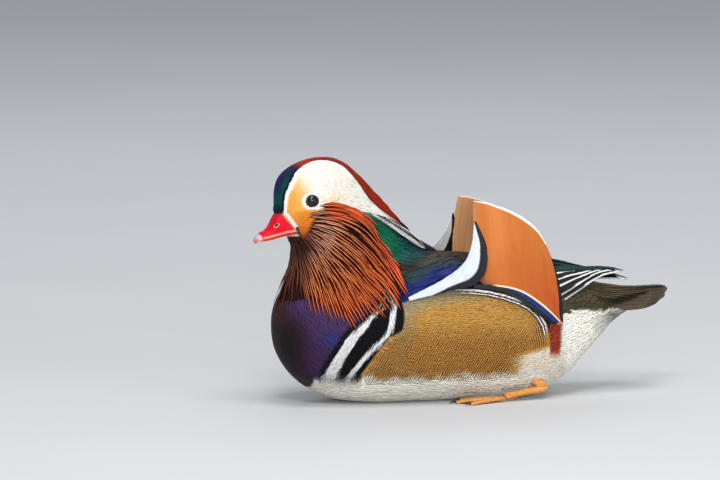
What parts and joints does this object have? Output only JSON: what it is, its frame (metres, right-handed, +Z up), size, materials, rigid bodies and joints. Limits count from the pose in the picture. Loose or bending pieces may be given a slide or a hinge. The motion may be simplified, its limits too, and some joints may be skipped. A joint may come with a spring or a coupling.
{
  "type": "mandarin duck",
  "caption": "Life-size still model of a drake mandarin duck resting on its belly as on water, with crest, ruff and upright orange sails.",
  "frame": {"origin": "middle of the small flat under the belly, on the midline, at floor level", "axes": "+X forward along the trunk towards the bill, +Y to the bird's left, +Z up"},
  "size_m": [0.37, 0.128, 0.2094],
  "materials": {
    "plumage_trunk": "golden buff flanks with fine dark waves, olive brown back",
    "plumage_breast": "dark purple and maroon with a slight gloss",
    "plumage_rump": "white undertail, olive brown above",
    "plumage_neck": "long pointed hackles, chestnut orange with pale shafts",
    "plumage_head": "white brow, buff face, green and chestnut crown",
    "plumage_crest": "green nape with white and chestnut bands",
    "plumage_wing": "blue scapulars, black flight feathers edged white",
    "sail": "orange vane with a white rim",
    "crescent": "white vane edged black",
    "tail": "olive brown",
    "bill": "crimson horn with a pale nail",
    "eye": "wet, nearly black",
    "foot": "scaly, yellow orange with dusky webs"
  },
  "bodies": {
    "root": {"trunk": "plumage_trunk", "breast": "plumage_breast", "rump": "plumage_rump", "neck": "plumage_neck", "head": "plumage_head", "crest": "plumage_crest", "bill_upper": "bill", "bill_lower": "bill", "eye_left": "eye", "eye_right": "eye", "wing_left": "plumage_wing", "wing_right": "plumage_wing", "sail_left": "sail", "sail_right": "sail", "crescent_left": "crescent", "crescent_right": "crescent", "leg_left": "foot", "leg_right": "foot", "foot_left": "foot", "foot_right": "foot", "tail": "tail"}
  },
  "joints": []
}
